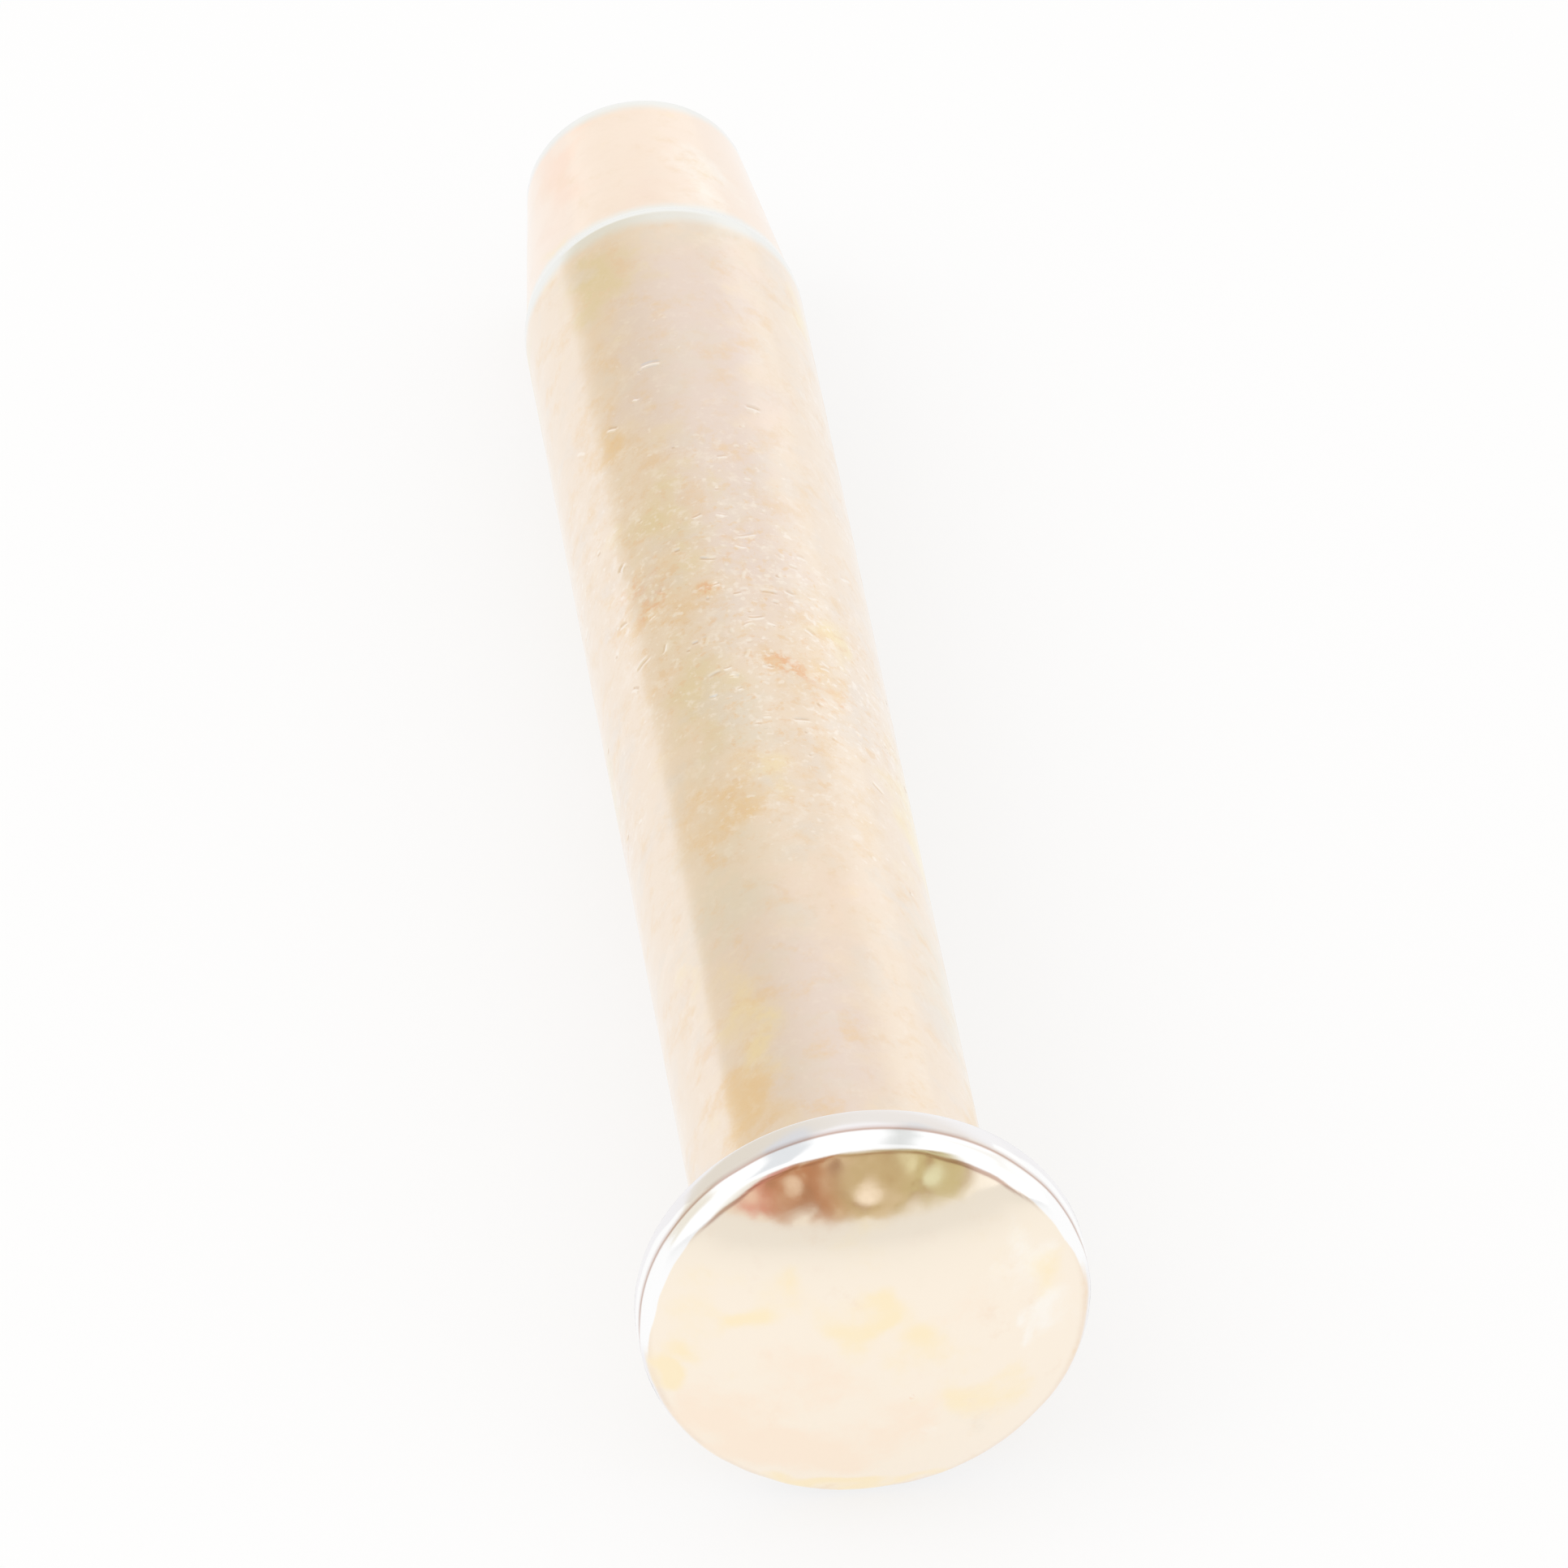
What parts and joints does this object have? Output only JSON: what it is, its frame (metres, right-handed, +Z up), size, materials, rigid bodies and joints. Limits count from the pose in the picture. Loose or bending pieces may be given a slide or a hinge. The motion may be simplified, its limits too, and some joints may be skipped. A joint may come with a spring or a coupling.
{
  "type": "solid rivet",
  "caption": "Yellow zinc plated solid steel rivet with a low crowned round head, a long plain shank and a short tapered point behind a small shoulder.",
  "frame": {"origin": "on the surface that the rivet lies on, below the middle of its length", "axes": "+X along the rivet from the head towards the point, +Z up; the shank's axis dips 2.7 degrees towards the point, because the rivet lies on the edge of its head and on its shoulder"},
  "size_m": [0.054, 0.0122, 0.0122],
  "materials": {
    "plated_steel": "yellow chromated zinc plating, satin on the shank and semi-bright on the head, iridescent gold and pink"
  },
  "bodies": {
    "root": {"rivet": "plated_steel"}
  },
  "joints": []
}
